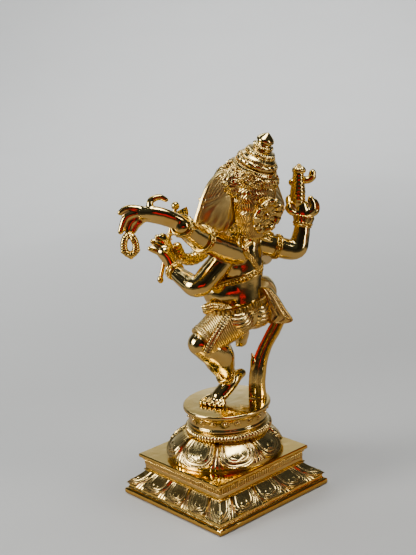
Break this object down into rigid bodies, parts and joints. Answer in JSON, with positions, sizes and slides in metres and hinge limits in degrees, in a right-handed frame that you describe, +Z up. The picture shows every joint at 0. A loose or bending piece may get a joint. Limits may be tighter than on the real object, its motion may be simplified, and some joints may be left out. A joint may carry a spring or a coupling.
{
  "type": "brass deity figure on a lotus base",
  "caption": "Cast brass dancing elephant-headed figure with raised leg, on a round drum, lotus dome and square petalled base.",
  "frame": {"origin": "middle of the object's whole box at the resting plane; the middle of the square base is 2.5 mm from it on the -X side", "axes": "+Z up, the figure faces -Y, its own left hand side is +X"},
  "size_m": [0.1306, 0.09, 0.2207],
  "materials": {
    "polished_brass": "mirror-polished cast brass, warm gold, with brown tarnish in the hollows",
    "chased_brass": "finely chased and beaded brass, polished on the raised parts, copper-brown in the grooves"
  },
  "bodies": {
    "root": {"axe_blade": "polished_brass", "axe_shaft": "polished_brass", "base_rim": "polished_brass", "bead_ring": "chased_brass", "broken_tusk": "polished_brass", "collar": "chased_brass", "cornice_plate": "polished_brass", "crown": "chased_brass", "crown_bud": "polished_brass", "front_left_bangle": "chased_brass", "front_left_forearm": "polished_brass", "front_left_hand": "polished_brass", "front_left_upper_arm": "polished_brass", "front_right_bangle": "chased_brass", "front_right_forearm": "polished_brass", "front_right_hand": "polished_brass", "front_right_upper_arm": "polished_brass", "goad": "polished_brass", "halo_wheel": "chased_brass", "head": "polished_brass", "hip_belt": "chased_brass", "hips": "chased_brass", "left_ear": "chased_brass", "left_foot_peg": "polished_brass", "left_tusk": "polished_brass", "lotus_dome": "chased_brass", "noose": "chased_brass", "pedestal_drum": "polished_brass", "petal_tier": "chased_brass", "raised_anklet": "chased_brass", "raised_foot": "polished_brass", "raised_shin": "polished_brass", "raised_thigh": "chased_brass", "rear_left_armlet": "chased_brass", "rear_left_bangle": "chased_brass", "rear_left_forearm": "polished_brass", "rear_left_hand": "polished_brass", "rear_left_upper_arm": "polished_brass", "rear_right_armlet": "chased_brass", "rear_right_bangle": "chased_brass", "rear_right_forearm": "polished_brass", "rear_right_hand": "polished_brass", "rear_right_upper_arm": "polished_brass", "right_ear": "chased_brass", "right_tusk": "polished_brass", "sash_flare": "chased_brass", "sash_strut": "chased_brass", "standing_anklet": "chased_brass", "standing_foot": "polished_brass", "standing_shin": "polished_brass", "standing_thigh": "chased_brass", "strut_peg": "polished_brass", "thigh_sash": "chased_brass", "torso": "polished_brass", "trunk": "polished_brass", "upper_plinth": "chased_brass", "waist_band": "chased_brass", "wheel_boss": "polished_brass", "wheel_stem": "polished_brass"}
  },
  "joints": []
}
